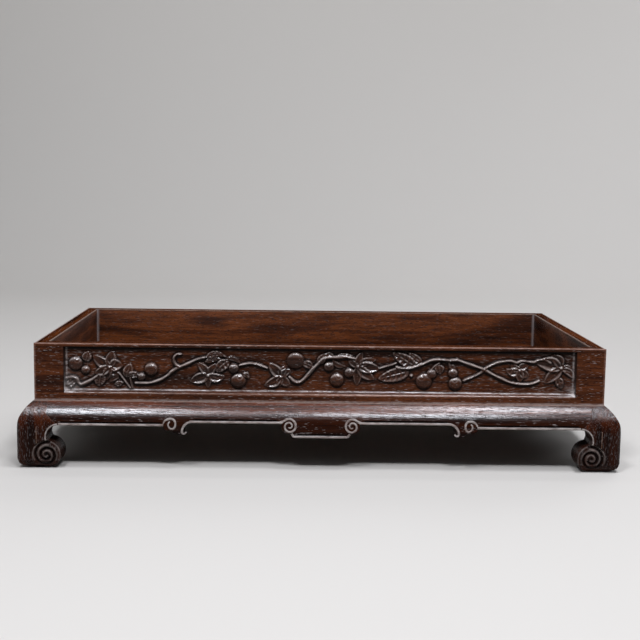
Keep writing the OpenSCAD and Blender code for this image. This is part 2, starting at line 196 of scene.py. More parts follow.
def waxedHardwood(name, look, grain):
    # Dark reddish hardwood, planed or carved and waxed: brown streaks along the grain, short open pores that
    # are dark or filled with pale wax, a soft gloss, pale worn wood, and painted shade and highlights from the
    # marks.
    material, tree = newMaterial(name)

    def maths(operation, *values):    # of numbers and sockets
        numbers = {i: value for i, value in enumerate(values) if isinstance(value, float)}
        sockets = {i: value for i, value in enumerate(values) if i not in numbers}
        return addNode(tree, "Math", {"operation": operation, **numbers}, sockets)

    def ranged(source, low, high, least, most):
        return addNode(tree, "MapRange", {1: low, 2: high, 3: least, 4: most}, {0: source})

    def spreadOf(attribute):
        return addNode(tree, "Attribute", {"attribute_name": attribute}, out="Fac")

    place = addNode(tree, "TexCoord", out="Object")
    parts = addNode(tree, "SeparateXYZ", links={0: place}).node.outputs
    layers = {}
    for layer, (along, across, detail, start) in look["patterns"].items():
        scale = [1 / (across * mm)] * 3
        scale[grain] = 1 / (along * mm)
        turned = addNode(tree, "Mapping", {"Scale": scale, "Location": (start, start * 0.7, start * 1.3)},
                         {"Vector": place})
        layers[layer] = addNode(tree, "TexNoise", {"Scale": 1.0, "Detail": detail, "Roughness": 0.6},
                                {"Vector": turned})
    colour = addNode(tree, "ValToRGB", {"stops": look["tones"]}, {0: layers["streak"]})
    for layer in ("fibre", "cloud"):
        shade = addNode(tree, "ValToRGB", {"stops": look[layer]}, {0: layers[layer]})
        colour = addNode(tree, "Mix", {"data_type": "RGBA", "blend_type": "MULTIPLY", 0: 1.0},
                         {6: colour, 7: shade}, 2)
    tints = []    # amount and colour of what lies over the wood, from the lowest up
    for low, high, share, tint in look.get("bands", []):    # by height: painted shade below, and a pale line along the wall's foot, wax and partly a painted highlight
        tints.append((ranged(parts[2], low * mm, high * mm, 0.0, share), tint))
    cuts = {}
    for layer, tint in (("pore", "poreColour"), ("dash", "waxColour")):
        start = look[layer + "From"]
        cuts[layer] = ranged(layers[layer], start, start + finish["cutEdge"], 0.0, 1.0)
        tints.append((maths("MULTIPLY", cuts[layer], look[layer + "Share"]), look[tint]))
    for attribute, tint, layer, *limits in look.get("marks", []):    # the piece's own attributes
        tints.append((maths("MULTIPLY", spreadOf(attribute), ranged(layers[layer], *limits)), tint))
    worn = look.get("worn")
    if worn:    # an arris or a bead, rubbed pale all along
        amount = ranged(layers["wear"], *finish["wornFrom"], worn * finish["wornLeast"], worn)
        tints.append((amount, look["wornColour"]))
    if look.get("sharpWear"):    # ridges of a closely meshed carving
        ridge = addNode(tree, "NewGeometry", out="Pointiness")
        ridge = ranged(ridge, *finish["ridgeFrom"], 0.0, look["sharpWear"])
        broken = ranged(layers["wear"], *finish["ridgeBroken"])
        tints.append((maths("MULTIPLY", ridge, broken), look["wornColour"]))
    if look.get("cornerWax"):    # old wax in the upright inner corners of the tray
        axis, start, other, below = look["cornerWax"]
        steps = [ranged(maths("ABSOLUTE", parts[part]), low * mm, high * mm, 0.0, finish["cornerShare"])
                 for part, low, high in ((axis, start - finish["cornerReach"], start),
                                         (other, below + finish["cornerEdge"], below))]
        tints.append((maths("MULTIPLY", *steps), look["waxColour"]))
    for amount, tint in tints:
        colour = addNode(tree, "Mix", {"data_type": "RGBA", 7: toLinear(tint)}, {0: amount, 6: colour}, 2)
    rough = ranged(layers["cloud"], 0.3, 0.7, *look["gloss"])
    rough = maths("MULTIPLY_ADD", cuts["pore"], finish["cutRough"], rough)
    height = maths("MULTIPLY", layers["ripple"], look["ripple"])
    for layer in ("pore", "dash"):
        height = maths("SUBTRACT", height, cuts[layer])
    bump = addNode(tree, "Bump", {"Strength": look["bump"], "Distance": finish["cutDepth"] * mm},
                   {"Height": height})
    shade = addNode(tree, "BsdfPrincipled",
                    {"IOR": finish["ior"], "Specular IOR Level": look["shine"],
                     "Coat IOR": finish["waxIor"], "Coat Roughness": look["waxRough"]},
                    {"Base Color": colour, "Roughness": rough, "Normal": bump, "Coat Normal": bump})
    if look.get("polish"):    # the wax coat: hands and brush polish the raised work and the shoulder
        spread, low, high, most = look["polish"]
        source = parts[2] if spread == "height" else spreadOf(spread)
        wax = ranged(source, low, high, 0.0, most)
        fades = [ranged(spreadOf("crevice"), 0.0, 1.0, 1.0, finish["paintedShadeWax"])]    # the wax coat is thin where shade is painted
        if look.get("dusty"):    # by height: dust dulls the flat top of the shoulder
            start, end, least = look["dusty"]
            fades.append(ranged(parts[2], start * mm, end * mm, 1.0, least))
        for fade in fades:
            wax = maths("MULTIPLY", wax, fade)
        tree.links.new(wax, shade.node.inputs["Coat Weight"])
        calm = ranged(source, low, high, look["bump"], look["bump"] * look["calm"])
        tree.links.new(calm, bump.node.inputs["Strength"])
    addNode(tree, "OutputMaterial", links={"Surface": shade})
    return material


alongX, alongY, alongZ = 0, 1, 2
wood = {    # pattern: length along the grain, width across it in mm, detail, where it starts
    "patterns": {"streak": (130, 4.5, 4, 3.1), "fibre": (14, 0.5, 2, 7.7), "ripple": (12, 0.9, 2, 7.7),
                 "pore": (2.8, 0.3, 1, 1.9), "dash": (3.2, 0.34, 1, 6.6), "cloud": (70, 22, 2, 5.3),
                 "wear": (4, 1.3, 3, 9.2)},
    "tones": [(0.32, "#281309"), (0.44, "#472311"), (0.55, "#65351a"), (0.68, "#371b0f")],
    "fibre": [(0.3, 0.5), (0.7, 1.0)], "cloud": [(0.32, 0.62), (0.66, 1.0)],    # place on the pattern, how light
    "poreFrom": 0.6, "poreShare": 0.85, "poreColour": "#0e0604",
    "dashFrom": 0.665, "dashShare": 0.55, "waxColour": "#9b9290",
    "wornColour": "#8a7262",
    "gloss": (0.27, 0.4),
    "bump": 0.25, "ripple": 0.5,
    "shine": 0.15,
    "waxRough": 0.18, "calm": 1.0,    # the wax coat, and how much of the bump shows through it
}
carvedMarks = [    # attribute, colour, the pattern that breaks it up, from and to on it, least and most
    ("carved", "#22110a", "wear", 0.2, 0.4, 0.25, 0.4),
    ("dust", "#968e8b", "dash", 0.57, 0.66, 0.0, 0.45),
    # painted shade in the hollows, under the raised work, under the top margin and at the ends
    ("crevice", "#080302", "wear", 0.1, 0.25, 0.25, 0.95),
    # painted highlights on the raised work's up-facing slopes and crests
    ("rub", "#c6bab4", "wear", 0.34, 0.6, 0.3, 0.8),
    ("bare", "#bd9787", "wear", 0.34, 0.6, 0.35, 0.85),
    ("wax", "#cbc5c3", "wear", 0.38, 0.58, 0.18, 0.95),
]
wallLook = dict(wood, marks=carvedMarks, polish=("polish", 0, 1, 1.0), waxRough=0.15, calm=0.4, shine=0.08)
rimLook = dict(wood, shine=0.0, gloss=(0.55, 0.7))
# lighter tones inside the tray: painted light; broader streaks and fewer pale dashes
innerPaintedLightLook = dict(wood, tones=[(0.34, "#27120a"), (0.45, "#4d2713"), (0.54, "#733e1f"), (0.66, "#3d1f11")],
                 patterns=dict(wood["patterns"], streak=(95, 9, 3, 3.1)), fibre=[(0.3, 0.72), (0.7, 1.0)],
                 dashShare=0.16)
arrisLook = dict(wood, worn=0.7)
beadLook = dict(wood, worn=0.95, wornColour="#a69f9b", shine=0.35)
baseLook = dict(wood, tones=[(0.32, "#260f08"), (0.44, "#4c2212"), (0.55, "#6f3519"), (0.68, "#34180d")],
                patterns=dict(wood["patterns"], dash=(3.6, 0.4, 1, 6.6)), dashFrom=0.655, dashShare=0.62,
                poreShare=0.5, bump=0.5, ripple=1.5, waxRough=0.2, shine=0.06, gloss=(0.24, 0.32),
                # painted shade, darker below 31 mm; a pale line at the wall's foot, wax and partly a painted
                # highlight
                bands=[(31, 27, 0.78, "#060302"), (34.3, 34.7, 0.55, "#97847b")],
                polish=("height", 26.5 * mm, 30 * mm, 1.0), dusty=(33.2, 34.4, 0.35))
# near-black tones in the groove above the bead: painted shade
quirkShadeLook = dict(baseLook, tones=[(0.3, "#0a0503"), (0.45, "#140a06"), (0.6, "#1a0d07"), (0.7, "#0c0604")],
                 dashShare=0.1, shine=0.05, polish=None)
# painted shade in the foot's scroll cut; painted highlight on its up-facing ridges, and wear on the sole's edge
footMarks = [("crevice", "#080504", "wear", 0.1, 0.3, 0.25, 0.8), ("rub", "#8f847e", "wear", 0.36, 0.6, 0.25, 0.6)]
legLook = dict(baseLook, tones=[(0.32, "#210d07"), (0.44, "#431e0f"), (0.55, "#602d15"), (0.68, "#2d140a")],
               patterns=dict(wood["patterns"], dash=(2.2, 0.3, 1, 6.6)), dashFrom=0.61, dashShare=0.32,
               waxColour="#8f8a8b", marks=footMarks, sharpWear=0.7, wornColour="#7d7470", bump=0.8, ripple=2.4,
               # painted shade, darker below 29 mm; a pale line at the top, wax and partly a painted highlight
               bands=[(29, 20, 0.62, "#060302"), (34.3, 34.7, 0.7, "#97847b")])
floorLook = dict(wood, tones=[(0.32, "#2a1208"), (0.44, "#502611"), (0.55, "#713819"), (0.68, "#3a1c0d")])
bambooLook = dict(wood, tones=[(0.3, "#8a6a38"), (0.5, "#a8844f"), (0.7, "#b8955c"), (0.85, "#96753f")],
                  patterns=dict(wood["patterns"], streak=(40, 0.9, 3, 2.2), pore=(4, 0.3, 1, 6.1)),
                  poreColour="#5d4322", gloss=(0.5, 0.65))
woods = {
    "innerX": waxedHardwood("waxed_hardwood_inside_long_painted_light", dict(innerPaintedLightLook, cornerWax=(0, 143, 1, 73)), alongX),
    "innerY": waxedHardwood("waxed_hardwood_inside_short_painted_light", dict(innerPaintedLightLook, cornerWax=(1, 73, 0, 143)), alongY),
    "quirk": waxedHardwood("hardwood_in_the_quirk_painted_shade", quirkShadeLook, alongX),
    "leg": waxedHardwood("waxed_hardwood_leg", legLook, alongZ),
    "floor": waxedHardwood("waxed_hardwood_floor", floorLook, alongX),
    "batten": waxedHardwood("waxed_hardwood_batten", floorLook, alongY),
    "key": waxedHardwood("sawn_hardwood_key", dict(floorLook, gloss=(0.6, 0.75)), alongZ),
    "bamboo": waxedHardwood("split_bamboo_peg", bambooLook, alongZ),
}
for part, name, look in (("wall", "waxed_hardwood_wall", wallLook), ("rim", "dry_hardwood_rim", rimLook),
                         ("arris", "rubbed_hardwood_arris", arrisLook), ("base", "waxed_hardwood_apron", baseLook),
                         ("bead", "rubbed_hardwood_bead", beadLook)):
    woods[part + "X"] = waxedHardwood(name + "_long", look, alongX)
    woods[part + "Y"] = waxedHardwood(name + "_short", look, alongY)
print("woods:", len(woods), "materials")


def keep(piece, slotName, *nodes):
    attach(piece, "root")
    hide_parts(*nodes)
    print("made", piece.name, len(piece.data.polygons), "faces")


def turnBy(piece, degrees, flip=(1, 1, 1)):
    piece.rotation_euler = (0, 0, math.radians(degrees))
    piece.scale = flip
    bpy.ops.object.transform_apply(location=False, rotation=True, scale=True)
    return piece


def clothe(piece, *looks):
    piece.data.materials.clear()
    for look in looks:
        piece.data.materials.append(woods[look])


def mark(piece, spreads):    # how much of each mark is at each point, for the woods
    for spread, amount in spreads.items():
        layer = piece.data.attributes.new(spread, "FLOAT", "POINT")
        layer.data.foreach_set("value", np.clip(amount, 0, 1.5).astype(np.float32))


def placedCopy(piece, name, turn=0, flip=(1, 1, 1)):
    pick(piece)
    bpy.ops.object.duplicate()
    copy = bpy.context.object
    copy.name = name
    return turnBy(copy, turn, flip)


def bell(gap, width):    # 1 where the gap is nothing, fading over the width
    return np.exp(-(gap / width) ** 2)


def spotsOf(piece):
    spots = np.zeros(len(piece.data.vertices) * 3)
    piece.data.vertices.foreach_get("co", spots)
    return spots.reshape(-1, 3) / mm


def moveTo(piece, spots):
    piece.data.vertices.foreach_set("co", (spots * mm).ravel())
    piece.data.update()


# Tray walls: one board each, with the vine carved in a sunk field.
board = {
    "out": [80, 150, 80, 150],    # from the middle of the stand to each wall's face
    "half": [150, 80, 150, 80],
    "rim": 65, "height": 30, "thick": 7,
    "rimRound": 0.7, "footRound": 0.35, "mitreRound": 0.2, "innerRound": 0.5,
    "wornEdge": 1.2,    # how far back the carved face's worn edge goes
    # rows and columns of points round the field, from the rim down and from each end
    "endColumns": [0, 0.06, 0.13, 0.2, 1.2, 4.5, 9, 13, 14.6, 15.15],
    "footRows": [-30, -29.9, -29.78, -29.65, -29, -27.6, -26.8, -26.35],
    "rimRows": [-1.6, -1.3, -1, -0.7, -0.45, -0.26, -0.12, -0.04, 0],
}
field = {
    "end": 15.4, "top": 1.8, "foot": 3.9,
    "depth": 2.2, "slope": 0.6, "ledge": 1.7,
    "step": 0.3,    # spacing of the carved surface's points
    "stemTop": 1.75, "leafTop": 1.7, "petalTop": 2.15, "fruitTop": 2.1, "toolMarks": 0.14, "wobble": 0.08,
    "leafWidth": 1.3, "petalWidth": 1.5, "petalStep": 0.09,    # each petal of three a little lower
    "eye": (1.1, 1.7, 90),    # a blossom's middle: radius, height, turn
    "reach": 134.6,    # half the length of the front's field
    "seed": 11,
}
wear = {    # rubbing, wax, painted shade and painted highlight on a carved wall: strength, then reach in mm
    "marginShadow": (1.2, 1.85), "endShadow": (0.95, 0.4), "endWax": (0.4, 0.45),
    "rim": (0.7, 0.4), "foot": (0.6, 0.4), "mitre": (0.6, 0.3), "footWaxAndHighlight": (0.8, 0.35),
    "ledgeEdge": 0.35, "ledgeLeast": 0.3, "ledgeMore": (0.65, 25, 45),    # rubbed most right of the middle
    "ledgeWax": (0.8, 0.2), "ledgeWaxReach": 0.32,    # all along, and more at the left
    "cornerWax": (1.8, 3.4, 2.2),    # strength, reach in the left and the right corner
}
vine = {    # millimetres from the middle of the front and below the rim
    "stems": [    # width, height share, points
        (2.1, 0.95, [(-133.4, -18.6), (-130.1, -18.2), (-127.9, -19.1), (-127.4, -20.8), (-125.9, -22),
            (-123, -21), (-120.1, -19.4), (-117.7, -17.6)]),
        (1.1, 0.8, [(-106.3, -15.3), (-103.5, -19.1), (-100, -23.8)]),
        (1, 0.7, [(-100.2, -18.1), (-99.5, -21.5), (-98.8, -23.9)]),
        (1.9, 1, [(-97.3, -20.9), (-94, -21), (-89.3, -20.7), (-84.5, -19.2), (-80.7, -16.9), (-77.4, -14),
            (-73.6, -12), (-69.3, -10.1), (-65.5, -8.2), (-61.2, -7)]),
        (1.6, 0.95, [(-73.6, -12), (-75.9, -11.3), (-77.3, -9.2), (-77.1, -7), (-75.7, -5.5), (-73.5, -5.4)]),
        (1.6, 0.95, [(-42.9, -11), (-37.9, -9.9), (-33.6, -10.4), (-28.3, -12.3)]),
        (2.1, 1, [(-16.6, -17), (-14.7, -18.9), (-12.5, -19.8), (-9.9, -18.8), (-6.6, -15.4), (-4, -12.2),
            (-0.9, -9.1), (1.9, -6.8), (5.2, -6.3), (9.1, -6.2), (12.9, -5.9), (17.2, -6.7)]),
        (1.2, 0.85, [(30.4, -11.9), (34.5, -10.6), (37.3, -9.8), (39.5, -8.8)]),
        (1.8, 1, [(39.5, -10.9), (42.2, -11.6), (46.5, -11.7), (49.3, -10.8), (53.6, -9.2), (57.4, -7.4),
            (62.2, -6.8), (67.5, -7.2), (71.8, -7.1), (76.6, -8.7), (81.5, -10.3), (85.4, -11.7),
            (89.8, -14.1), (94.7, -16.5), (100, -18.6), (105.8, -19.5), (111.1, -19.2), (115.2, -17.6)]),
        (0.9, 0.7, [(58.1, -12.1), (60.3, -9.8), (62.5, -8.6)]),
        (0.9, 0.7, [(67.2, -7.3), (67.5, -9.4), (68.4, -11.8)]),
        (1.7, 0.85, [(75.2, -17.9), (80.2, -15.7), (84, -13.7), (86.8, -11.2), (90.6, -9), (94.4, -7.8),
            (99.6, -7.1), (103, -8.1), (105.9, -7.1), (112.2, -7.7), (114, -6.6), (117.4, -6.3),
            (121.1, -8.2)]),
    ],
    "fruits": [    # place, radius, and where the stalk end sits on it
        (-128.6, -10.9, 3.8, 60), (-123.4, -14.3, 2.4, 120), (-94.3, -17.6, 2.2, 95), (-89.2, -13.7, 3.6, 210),
        (-46, -12.8, 2.7, 80), (-43.5, -19.3, 4, 70), (-13.6, -8.2, 4.6, -20), (4.1, -11.3, 2.7, 90),
        (8.3, -18.3, 3.7, 65), (14.8, -14.4, 2.6, 100), (47.5, -15.5, 1.1, 90), (54.3, -18.5, 4.3, 125),
        (58.2, -14.6, 2.7, 60), (69.5, -14.1, 2.6, 60), (70.9, -19.6, 3.6, 100), (71.5, -6.7, 1, 90),
    ],
    "blossoms": [    # middle, then each petal: tip, width, bend
        ((-110.8, -12.7), [((-104.2, -11.6), 4.4, 0.1), ((-109.5, -4.1), 4, 0), ((-119.3, -6.5), 3.9, 0.05),
            ((-118.7, -16), 3.6, 0.06), ((-112.8, -19.9), 3.2, -0.05), ((-106.1, -17.5), 2.8, -0.08)]),
        ((-59.3, -16.7), [((-68.7, -19.8), 4, 0), ((-64.8, -9.8), 3.1, -0.05), ((-55, -10.4), 2.9, 0.06),
            ((-50.6, -17), 3.4, -0.12), ((-59.4, -23.3), 2.5, 0), ((-53.5, -19.4), 2.2, -0.08)]),
        ((-21.1, -17), [((-27.2, -9.8), 3.9, 0), ((-19.3, -11.3), 3.1, 0.05), ((-16, -13.1), 2.8, 0.08),
            ((-29.7, -21.6), 3.7, 0.08), ((-22.5, -22.5), 2.5, 0), ((-16.2, -21.7), 3.3, -0.06)]),
        ((19.2, -11), [((21.5, -3.2), 2.9, 0.05), ((14.3, -7.2), 2.4, 0.05), ((28.9, -7.3), 2.9, 0.1),
            ((30.9, -12.1), 4.2, 0), ((28.2, -17.9), 3.7, -0.06), ((18.9, -21.2), 3.2, 0)]),
        ((104.6, -12.3), [((97.6, -11.7), 3.2, 0.18), ((100.4, -8.8), 2.8, 0.1), ((100.4, -16.4), 3.3, -0.1),
            ((105.3, -18.4), 3.1, 0), ((110, -14.9), 3.2, -0.1), ((109.4, -9), 3.1, 0.1)]),
        ((126.8, -10.8), [((113.4, -7.8), 5.3, -0.06), ((121.4, -3.5), 4.1, -0.12), ((132.8, -12.7),
            2.9, 0.13), ((134.5, -16.9), 2.6, 0.1), ((118.1, -18.8), 4.2, 0)]),
    ],
    "leaves": [    # stalk end, tip, width, side veins, bend
        ((-123.3, -9.7), (-121.9, -4.3), 4.3, 5, 0), ((-115.6, -16.6), (-116.6, -22.9), 5.3, 5, 0),
        ((-106.3, -17.5), (-110.9, -20.7), 2.8, 0, -0.12), ((-102.3, -18), (-100, -10.7), 4.2, 2, 0),
        ((-100.2, -17.1), (-95.3, -16.7), 2.9, 3, 0.05), ((-108.3, -21.8), (-103.5, -20.7), 2.5, 3, 0),
        ((-133.2, -22.9), (-128.4, -19.3), 3.4, 3, 0), ((-61, -7.3), (-49.7, -6.9), 2.8, 5, 0.2),
        ((-61, -9.5), (-52.4, -7.5), 2.5, 4, 0.05), ((-48.7, -8.8), (-55.2, -14.7), 5, 4, -0.05),
        ((-50, -7.4), (-42.3, -9.8), 2, 0, 0.12), ((-41.2, -15.1), (-37.7, -18), 2.5, 2, 0.1),
        ((-9.8, -9.4), (-4.2, -12.2), 3.4, 2, 0.1), ((-1.6, -9.9), (2.3, -4.1), 3.6, 4, 0),
        ((1.5, -4.7), (7.2, -7.4), 3, 3, 0.1), ((7.6, -5.9), (16.8, -5.3), 2.2, 4, 0.05),
        ((5.7, -7.8), (13.2, -10.9), 2.2, 0, -0.15), ((49.6, -10.8), (37.4, -3.3), 5.3, 5, 0),
        ((52.9, -9.4), (45.8, -3.2), 3.4, 3, 0), ((46.3, -13.4), (30.2, -17.6), 6, 6, 0),
        ((61.8, -9.6), (62.9, -14.5), 4.3, 5, 0), ((67.1, -10.2), (71.3, -12.3), 2.2, 0, 0.1),
        ((125, -15.6), (127.4, -21.8), 3.6, 3, 0),
    ],
}


def smoothLine(points, step):
    spots = np.array([points[0], *points, points[-1]], float)
    line = []
    for a, b, c, d in zip(spots, spots[1:], spots[2:], spots[3:]):
        count = max(2, int(np.hypot(*(c - b)) / step))
        for t in np.arange(count) / count:
            line.append(0.5 * (2 * b + (c - a) * t + (2 * a - 5 * b + 4 * c - d) * t ** 2
                               + (3 * b - a - 3 * c + d) * t ** 3))
    line.append(spots[-1])
    return np.array(line)


def patchOf(carving, low, high):
    columns = slice(*np.searchsorted(carving["u"], (low[0], high[0])))
    rows = slice(*np.searchsorted(carving["v"], (low[1], high[1])))
    across, up = np.meshgrid(carving["u"][columns], carving["v"][rows])
    return (rows, columns), across, up


def raiseTo(carving, where, height):
    carving["h"][where] = np.maximum(carving["h"][where], height)


def raiseStem(carving, points, width, top):
    line = smoothLine(points, 0.7)
    where, across, up = patchOf(carving, line.min(0) - width, line.max(0) + width)
    near = np.full(across.shape, 99.0)
    along = np.zeros(across.shape)
    count = len(line) - 1
    for i, (a, b) in enumerate(zip(line, line[1:])):
        run = b - a
        share = np.clip(((across - a[0]) * run[0] + (up - a[1]) * run[1]) / max(run @ run, 1e-9), 0, 1)
        gap = np.hypot(across - a[0] - share * run[0], up - a[1] - share * run[1])
        closer = gap < near
        near[closer] = gap[closer]
        along[closer] = ((i + share) / count)[closer]
    half = width / 2 * (0.7 + 0.3 * np.sin(np.pi * along) ** 0.5) * (1 + 0.12 * np.sin(along * count * 0.5))
    raiseTo(carving, where, top * np.sqrt(np.clip(1 - (near / half) ** 2, 0, 1)))


def raiseFruit(carving, x, z, radius, top, stalk):
    where, across, up = patchOf(carving, (x - radius, z - radius), (x + radius, z + radius))
    gap = np.hypot(across - x, up - z) / radius
    height = top * np.sqrt(np.clip(1 - gap ** 2, 0, 1))
    turn = math.radians(stalk)
    away = 0.6 * radius    # from the fruit's middle to its dented stalk end
    dent = np.hypot(across - x - away * math.cos(turn), up - z - away * math.sin(turn)) / (0.3 * radius)
    raiseTo(carving, where, height - 0.25 * np.exp(-(dent - 0.9) ** 2 / 0.1) * (height > 0))


def raiseLeaf(carving, base, tip, width, top, veins, bend):
    base, tip = np.array(base, float), np.array(tip, float)
    run = tip - base
    length = np.hypot(*run)
    where, across, up = patchOf(carving, np.minimum(base, tip) - width, np.maximum(base, tip) + width)
    along = ((across - base[0]) * run[0] + (up - base[1]) * run[1]) / length ** 2
    aside = ((up - base[1]) * run[0] - (across - base[0]) * run[1]) / length
    inside = np.clip(along, 0, 1)
    aside = aside - bend * length * 4 * inside * (1 - inside)
    half = np.maximum(width / 2 * np.sin(np.pi * inside ** 0.8) ** 0.6, 1e-3)
    if veins > 3:
        half = half * (0.9 + 0.1 * ((inside * veins * 1.4) % 1))    # saw-toothed edge
    share, sunken = np.abs(aside) / half, 0.28 if veins else 0.22
    edge = easeStep((1 - share) * half / 0.3)
    hollow = sunken + (1 - sunken) * np.clip(share, 0, 1) ** 2    # gouged out, with the rim left standing
    rib = (0.5 if veins else 0.2) * bell(aside, 0.3)
    if veins:
        slant = inside * veins - 0.45 * share
        rib = rib + 0.3 * bell(slant % 1 - 0.5, 0.16) * (share > 0.15)
    arch = 0.7 + 0.3 * np.sin(np.pi * np.clip(inside * 0.9 + 0.15, 0, 1))
    height = top * edge * np.minimum(hollow + rib, 1) * arch
    raiseTo(carving, where, np.where((along > 0) & (along < 1), height, 0))


def carveVine(carving, firstX, lastX, length):
    # what lies between firstX and lastX on the front, spread over this field
    spread = length / (lastX - firstX)
    middle = (firstX + lastX) / 2

    def at(p):
        return ((p[0] - middle) * spread, p[1])

    def within(*xs):
        return all(firstX < x < lastX for x in xs)

    for width, share, points in vine["stems"]:
        if within(points[0][0], points[-1][0]):
            raiseStem(carving, [at(p) for p in points], width, field["stemTop"] * share)
    for base, tip, width, veins, bend in vine["leaves"]:
        if within(base[0], tip[0]):
            raiseLeaf(carving, at(base), at(tip), field["leafWidth"] * width, field["leafTop"], veins, bend)
    for centre, petals in vine["blossoms"]:
        if within(centre[0]):
            for i, (tip, width, bend) in enumerate(petals):
                top = field["petalTop"] * (1 - field["petalStep"] * (i % 3))
                raiseLeaf(carving, at(centre), at(tip), field["petalWidth"] * width, top, 0, bend)
            raiseFruit(carving, *at(centre), *field["eye"])
    for x, z, radius, stalk in vine["fruits"]:
        if within(x):
            raiseFruit(carving, *at((x, z)), radius, field["fruitTop"] * min(1, 0.75 + radius / 14), stalk)


def easeStep(share):
    share = np.clip(share, 0, 1)
    return share * share * (3 - 2 * share)


def roundedDrop(gap, radius):
    inward = np.clip(radius - gap, 0, radius)
    return radius - np.sqrt(radius ** 2 - inward ** 2)


def softened(heights, passes):
    soft = heights.copy()
    for turn in range(passes):
        soft[1:-1, :] = (soft[:-2, :] + 2 * soft[1:-1, :] + soft[2:, :]) / 4
        soft[:, 1:-1] = (soft[:, :-2] + 2 * soft[:, 1:-1] + soft[:, 2:]) / 4
    return soft


def wearAndPaintedLightStrip(part, gap):
    strength, away = wear[part]
    return strength * bell(gap, away)


def carvedWall(name, side, firstX, lastX, grain):
    half, out = board["half"][side], board["out"][side]
    fieldHalf = half - field["end"]
    count = int(2 * fieldHalf / field["step"])
    u = np.concatenate([[m - half for m in board["endColumns"]], np.linspace(-fieldHalf, fieldHalf, count + 1),
                        [half - m for m in reversed(board["endColumns"])]])
    low, high = field["foot"] - board["height"], -field["top"]
    count = int((high - low) / field["step"])
    v = np.concatenate([board["footRows"], np.linspace(low, high, count + 1), board["rimRows"]])
    carving = {"u": u, "v": v, "h": np.zeros((len(v), len(u)))}
    carveVine(carving, firstX, lastX, 2 * fieldHalf)
    across, up = np.meshgrid(u, v)
    random = np.random.default_rng(field["seed"] + side)
    marks = random.standard_normal(across.shape)
    for shift in (1, 2, 4, 8):    # short strokes of the flat gouge, along the board
        marks = (marks + np.roll(marks, shift, 1)) / 1.5
    marks = (marks + np.roll(marks, 1, 0) + np.roll(marks, 2, 0)) / 3
    marks *= field["toolMarks"] / np.abs(marks).max()
    relief = softened(carving["h"] + marks * (carving["h"] < 0.3), 1)  # the wax and the brush soften every cut
    wobble = softened(random.standard_normal((3, len(u))), 10)[1]
    wobble *= field["wobble"] / np.abs(wobble).max()    # the ledge is not quite straight
    toEnds, toTop, toFoot = fieldHalf - np.abs(across), high - up, up - low - wobble
    sunk = np.minimum(np.minimum(easeStep(toEnds / field["slope"]), easeStep(toTop / field["slope"])),
                      easeStep(toFoot / field["ledge"]))
    depth = sunk * (field["depth"] - relief)
    aboveFoot, toMitre = up + board["height"], half - np.abs(across)
    rounding = np.maximum(roundedDrop(-up, board["rimRound"]), roundedDrop(aboveFoot, board["footRound"]))
    depth = depth + np.maximum(rounding, roundedDrop(toMitre, board["mitreRound"]))

    deselectAll()
    bpy.ops.mesh.primitive_grid_add(x_subdivisions=len(u) - 1, y_subdivisions=len(v) - 1, size=1)
    piece = bpy.context.object
    piece.name = name
    spots = spotsOf(piece) * mm
    column = np.rint((spots[:, 0] + 0.5) * (len(u) - 1)).astype(int)
    row = np.rint((spots[:, 1] + 0.5) * (len(v) - 1)).astype(int)
    moveTo(piece, np.stack([u[column], depth[row, column] - out, board["rim"] + v[row]], 1))

    # marks for the wood: painted shade in the hollows, under and below the raised work, under the top margin and
    # at the field's ends; painted highlights on the raised work's up-facing slopes and crests; worn arrises; wax
    # left along the ledge and in the corners
    level = softened(relief, 14)
    under = np.maximum(np.roll(relief, -2, 0), np.roll(relief, -4, 0))    # painted shadow under what stands out
    crevice = sunk * np.clip(np.maximum((level - relief) / 0.35, (under - relief - 0.35) / 0.8), 0, 1)
    lean = -np.gradient(relief, v, axis=0)    # above 0 where the carving looks up
    upward, downward = easeStep((lean + 0.1) / 0.9), easeStep((-lean - 0.2) / 0.8)
    # painted shade on the slopes that look down
    crevice = np.maximum(crevice, 0.8 * sunk * downward)
    polish = sunk * easeStep(relief / 0.4) * (0.15 + 0.85 * upward)    # hands and brush reach what looks up
    polish = np.maximum(polish, 0.8 * (toFoot > 0) * (toFoot < field["ledge"]) * (toEnds > 0))
    inField = (toFoot > 0) * (toTop > 0)
    strength, away = wear["marginShadow"]    # painted shadow under the top margin
    marginShadow = strength * np.exp(-(np.clip(toTop, 0, None) / away) ** 4) * (toTop > -0.1) * (toEnds > 0)
    # painted highlights on up-facing slopes and on the crests of the raised work
    crest = np.clip((relief - softened(relief, 4) - 0.07) / 0.15, 0, 1) * (1 - 0.85 * downward)
    rub = sunk * np.maximum(np.clip((relief - level - 0.1) / 0.4, 0, 1) * upward ** 2, 0.18 * crest)
    paintedSheen = 0.75 * sunk * upward ** 2.5 * easeStep((relief - 0.5) / 0.5)    # painted highlight on the fruits' upper sides
    bare = np.maximum(np.maximum(wearAndPaintedLightStrip("rim", up), wearAndPaintedLightStrip("foot", aboveFoot)), wearAndPaintedLightStrip("mitre", toMitre))
    more, middle, away = wear["ledgeMore"]
    worn = wear["ledgeLeast"] + more * bell(across - middle, away)
    bare = np.maximum(bare, worn * bell(toFoot, wear["ledgeEdge"]) * (toEnds > 0))
    strength, leftReach, rightReach = wear["cornerWax"]
    reach = np.where(across < 0, leftReach, rightReach)
    corner = np.exp(-(np.clip(toEnds - 0.5, 0, None) + np.clip(toFoot - 0.6, 0, None)) / reach)
    corner *= strength * (toEnds > 0.3) * (toFoot > 0.2)
    waxed = wear["ledgeWax"][0] + wear["ledgeWax"][1] * easeStep((-97 - across) / 6)
    ledge = waxed * bell(toFoot - field["ledge"] + 0.15, wear["ledgeWaxReach"]) * (toEnds > 0)
